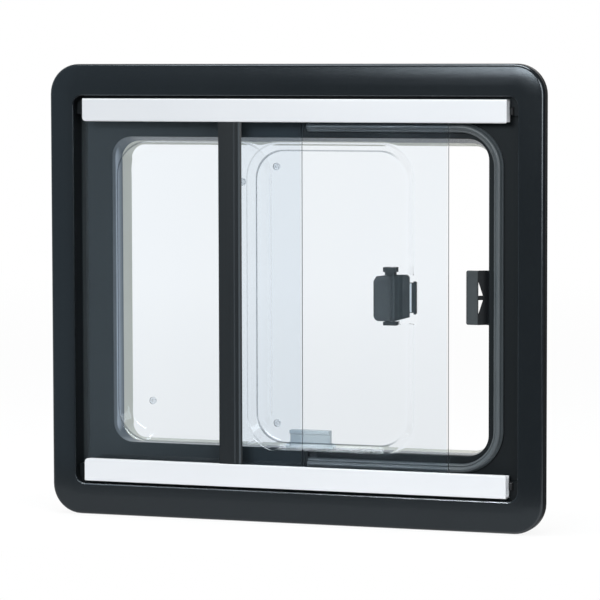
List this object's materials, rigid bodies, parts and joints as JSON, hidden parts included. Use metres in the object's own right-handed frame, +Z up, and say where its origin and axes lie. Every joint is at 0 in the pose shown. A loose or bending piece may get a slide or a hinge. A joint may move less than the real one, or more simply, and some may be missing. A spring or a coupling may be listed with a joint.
{
  "type": "caravan sliding window",
  "caption": "Caravan window with a moulded flange frame, aluminium rails, a fixed double pane and a latching sliding sash, clamped in a wall by an inner frame.",
  "frame": {"origin": "middle of the lower strip of the outer flange's back face, on the outside of the wall", "axes": "+X to the right seen from outside, +Y inward through the wall, +Z up"},
  "size_m": [0.548, 0.059, 0.484],
  "materials": {
    "frame_black": "satin",
    "cream_plastic": "satin",
    "rail_aluminium": "anodised",
    "clear_acrylic": "polished",
    "seal_rubber": "satin",
    "bar_black": "gloss",
    "glide_plastic": "satin",
    "latch_black": "gloss",
    "pin_steel": "satin",
    "clear_block": "satin",
    "vent_plastic": "satin"
  },
  "bodies": {
    "frame": {"outer_frame": "frame_black", "inner_frame": "cream_plastic", "top_rail": "rail_aluminium", "bottom_rail": "rail_aluminium", "top_rail_stops": "glide_plastic", "bottom_rail_stops": "glide_plastic", "fixed_pane_sheet": "clear_acrylic", "fixed_pane_tray": "clear_acrylic", "fixed_pane_vents": "vent_plastic", "pane_block": "clear_block", "opening_seal": "seal_rubber", "latch_catch": "latch_black"},
    "sash": {"sash_sheet": "clear_acrylic", "sash_tray": "clear_acrylic", "sash_vents": "vent_plastic", "sash_bar": "bar_black", "sash_bar_seal": "seal_rubber", "sash_top_glides": "glide_plastic", "sash_bottom_glides": "glide_plastic", "latch_base": "latch_black", "latch_pin": "pin_steel"},
    "latch_lever": {"latch_lever": "latch_black", "latch_leaf": "pin_steel"}
  },
  "joints": [
    {"name": "sash_slide", "type": "slide", "parent": "frame", "child": "sash", "axis": [1, 0, 0], "range_m": [-0.07, 0.072]},
    {"name": "latch_turn", "type": "hinge", "parent": "sash", "child": "latch_lever", "pos_m": [0.1042, 0.009, 0.2295], "axis": [0, 0, 1], "range_deg": [-12, 0]}
  ]
}
